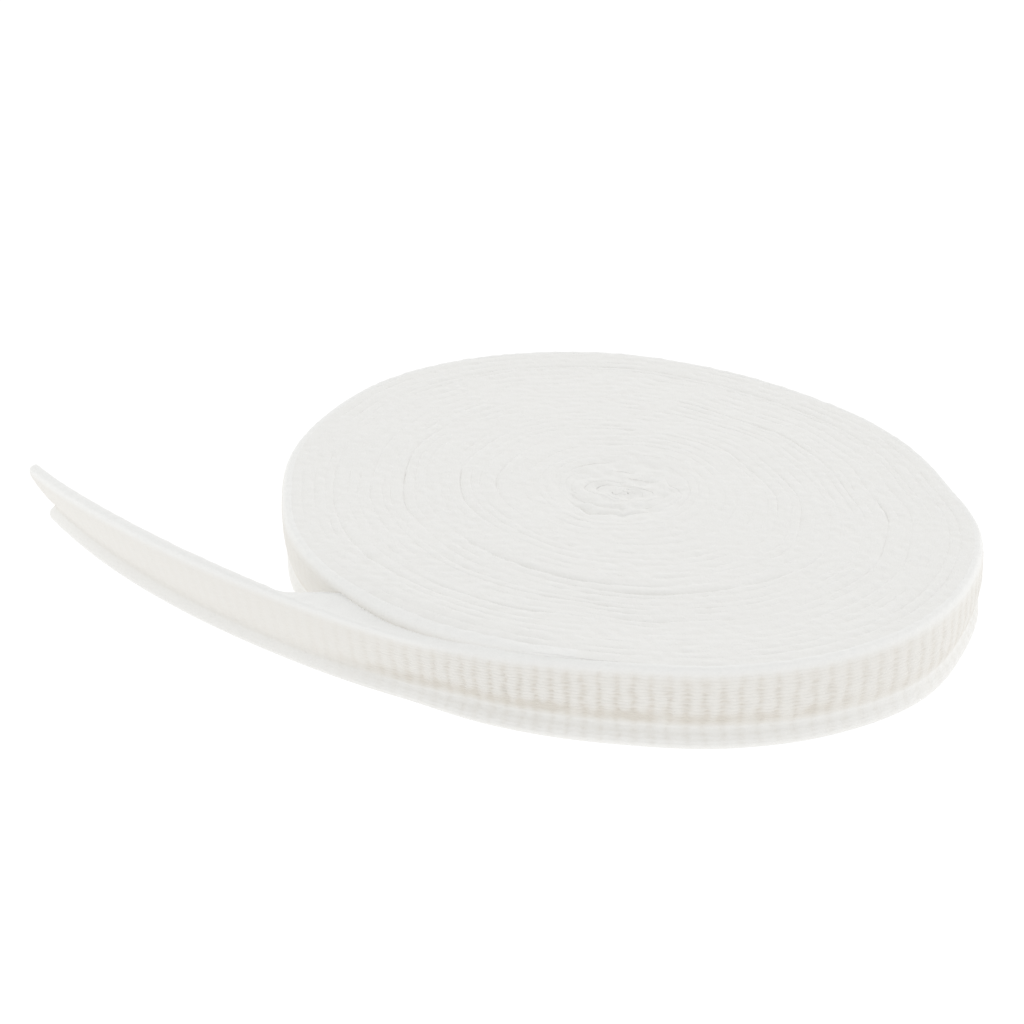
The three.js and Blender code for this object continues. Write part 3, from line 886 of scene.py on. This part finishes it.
def add_camera():
    """The camera stands back from its target along its azimuth and elevation, and turns about that line by
    its roll."""
    azimuth, elevation, roll = np.radians([CAMERA_AZIMUTH, CAMERA_ELEVATION, CAMERA_ROLL])
    flat = np.cos(elevation)
    back = np.array([np.sin(azimuth) * flat, -np.cos(azimuth) * flat, np.sin(elevation)])
    level = np.array([np.cos(azimuth), np.sin(azimuth), 0])
    upright = np.cross(back, level)
    right = np.cos(roll) * level + np.sin(roll) * upright
    above = np.cos(roll) * upright - np.sin(roll) * level
    place = (np.array(CAMERA_TARGET) + back * CAMERA_DISTANCE) * MM
    data = bpy.data.cameras.new("camera")
    data.lens = CAMERA_LENS
    data.sensor_width = CAMERA_SENSOR
    data.clip_start, data.clip_end = CAMERA_CLIP
    camera = bpy.data.objects.new("camera", data)
    rows = [[*row, p] for row, p in zip(np.stack([right, above, back], -1), place)]
    camera.matrix_world = Matrix([*rows, [0, 0, 0, 1]])
    bpy.context.scene.collection.objects.link(camera)
    bpy.context.scene.camera = camera


def add_floor(colour, glow):
    """A wide flat floor of lit white acrylic: it glows as evenly as a light table, so no shadow shows on
    it."""
    half = FLOOR_SIZE / 2 * MM
    mesh = bpy.data.meshes.new("floor")
    corners = [(-half, -half, 0), (half, -half, 0), (half, half, 0), (-half, half, 0)]
    mesh.from_pydata(corners, [], [(0, 1, 2, 3)])
    material = bpy.data.materials.new("lit_white_acrylic")
    material.use_nodes = True
    tree = material.node_tree
    tree.nodes.clear()
    shader = add_node(
        tree,
        "ShaderNodeBsdfPrincipled",
        Base_Color=(*colour, 1.0),
        Roughness=0.8,
        Specular_IOR_Level=0.0,
        Emission_Color=(*colour, 1.0),
        Emission_Strength=glow,
    )
    add_node(tree, "ShaderNodeOutputMaterial", [("Surface", shader.outputs["BSDF"])])
    mesh.materials.append(material)
    floor = bpy.data.objects.new("floor", mesh)
    bpy.context.scene.collection.objects.link(floor)
    return floor


def add_light(name, place, target, size, power):
    """A square soft light that faces its target."""
    data = bpy.data.lights.new(name, "AREA")
    data.energy, data.size = power, size * MM
    light = bpy.data.objects.new(name, data)
    away = np.array(place, float) - np.array(target, float)
    back = away / np.linalg.norm(away)
    side = np.cross([0, 1, 0], back)
    side /= np.linalg.norm(side)
    columns = np.stack([side, np.cross(back, side), back], -1)
    light.matrix_world = Matrix([[*row, p * MM] for row, p in zip(columns, place)] + [[0, 0, 0, 1]])
    bpy.context.scene.collection.objects.link(light)


def add_world(strength):
    """Even white light from all round, as in a light tent, a little stronger near the horizon than
    overhead."""
    world = bpy.data.worlds.new("light_tent")
    world.use_nodes = True
    tree = world.node_tree
    tree.nodes.clear()
    place = add_node(tree, "ShaderNodeTexCoord")
    split = add_node(tree, "ShaderNodeSeparateXYZ", [(0, place.outputs["Generated"])])
    rise = add_node(tree, "ShaderNodeMapRange", [("Value", split.outputs["Z"])], From_Min=0.0, From_Max=1.0)
    rise.inputs["To Min"].default_value = HORIZON_SHARE * strength
    rise.inputs["To Max"].default_value = strength
    light = add_node(tree, "ShaderNodeBackground", [("Strength", rise.outputs["Result"])])
    light.inputs["Color"].default_value = to_linear("#ffffff")
    add_node(tree, "ShaderNodeOutputWorld", [("Surface", light.outputs["Background"])])
    bpy.context.scene.world = world


class BandageLook(bpy.types.PropertyGroup):
    """What the band looks like."""

    rung_colour: FloatVectorProperty(
        name="Rung colour", description="Colour of the cotton", subtype="COLOR", size=3, min=0, max=1,
        default=to_linear("#f5f5f3")[:3],
    )
    # The colour of the painted shade in the net's hollows and holes, the crease, the shown face and the
    # crowns
    painted_shade_colour: FloatVectorProperty(
        name="Hollow colour", description="Colour between the rungs", subtype="COLOR", size=3, min=0, max=1,
        default=to_linear("#ded9d0")[:3],
    )
    roughness: FloatProperty(
        name="Roughness", description="Dullness of the cotton", default=0.92, min=0, max=1, subtype="FACTOR",
    )
    sheen: FloatProperty(
        name="Fuzz", description="Sheen of the loose fibres", default=0.12, min=0, max=1, subtype="FACTOR",
    )
    bump: FloatProperty(
        name="Stitch relief", description="Strength of the stitches", default=0.5, min=0, max=1,
        subtype="FACTOR",
    )
    stitch_share: FloatProperty(
        name="Stitch share", description="Stitches against fibres", default=0.35, min=0, max=2,
        subtype="FACTOR",
    )


class BandageStage(bpy.types.PropertyGroup):
    """The floor and the light."""

    floor_colour: FloatVectorProperty(
        name="Floor colour", description="Colour of the floor", subtype="COLOR", size=3, min=0, max=1,
        default=(0.1, 0.1, 0.1),
    )
    floor_glow: FloatProperty(
        name="Floor glow", description="Strength of the floor's own light", default=9.9, min=0,
        subtype="FACTOR",
    )
    tent: FloatProperty(
        name="Tent light", description="Strength of the light from all round", default=0.83, min=0,
        subtype="FACTOR",
    )
    left: FloatProperty(
        name="Left softbox", description="Power of the left light", default=1.3, min=0, unit="POWER",
    )
    right: FloatProperty(
        name="Right softbox", description="Power of the right light", default=1.2, min=0, unit="POWER",
    )


class BANDAGE_OT_outer_band(bpy.types.Operator):
    """Makes the loose end and the outermost turn"""

    bl_idname = "bandage.outer_band"
    bl_label = "Loose end and outermost turn"

    def execute(self, context):
        material = material_of(context.scene.bandage_look)
        make_front(material)
        make_back(material)
        return {"FINISHED"}


class BANDAGE_OT_inner_turns(bpy.types.Operator):
    """Makes the turns inside the outermost one"""

    bl_idname = "bandage.inner_turns"
    bl_label = "Inner turns"

    def execute(self, context):
        make_inner(material_of(context.scene.bandage_look))
        return {"FINISHED"}


class BANDAGE_OT_stage(bpy.types.Operator):
    """Makes the floor, the lights and the camera"""

    bl_idname = "bandage.stage"
    bl_label = "Stage"

    def execute(self, context):
        stage = context.scene.bandage_stage
        add_floor(stage.floor_colour, stage.floor_glow)
        add_world(stage.tent)
        add_light("left_softbox", LEFT_PLACE, LEFT_TARGET, SOFTBOX_SIZE, stage.left)
        add_light("right_softbox", RIGHT_PLACE, RIGHT_TARGET, SOFTBOX_SIZE, stage.right)
        add_camera()
        context.scene.view_settings.view_transform = "Standard"
        return {"FINISHED"}


class BANDAGE_PT_panel(bpy.types.Panel):
    """Lists the bandage's settings and what makes its pieces"""

    bl_idname = "BANDAGE_PT_panel"
    bl_label = "Rolled bandage"
    bl_space_type = "VIEW_3D"
    bl_region_type = "UI"
    bl_category = "Bandage"

    def draw(self, context):
        for group in (context.scene.bandage_look, context.scene.bandage_stage):
            box = self.layout.box()
            for name in type(group).__annotations__:
                box.prop(group, name)
        for operator in OPERATORS:
            self.layout.operator(operator.bl_idname)


OPERATORS = (BANDAGE_OT_outer_band, BANDAGE_OT_inner_turns, BANDAGE_OT_stage)
CLASSES = (BandageLook, BandageStage, *OPERATORS, BANDAGE_PT_panel)


def register():
    """Registers the classes and puts the settings on the scene."""
    for cls in CLASSES:
        bpy.utils.register_class(cls)
    bpy.types.Scene.bandage_look = PointerProperty(type=BandageLook)
    bpy.types.Scene.bandage_stage = PointerProperty(type=BandageStage)


def unregister():
    """Takes the settings off the scene and the classes out again."""
    del bpy.types.Scene.bandage_stage
    del bpy.types.Scene.bandage_look
    for cls in reversed(CLASSES):
        bpy.utils.unregister_class(cls)


def main():
    """Makes every piece and the stage."""
    register()
    bpy.ops.bandage.outer_band()
    bpy.ops.bandage.inner_turns()
    bpy.ops.bandage.stage()


if __name__ == "__main__":
    main()
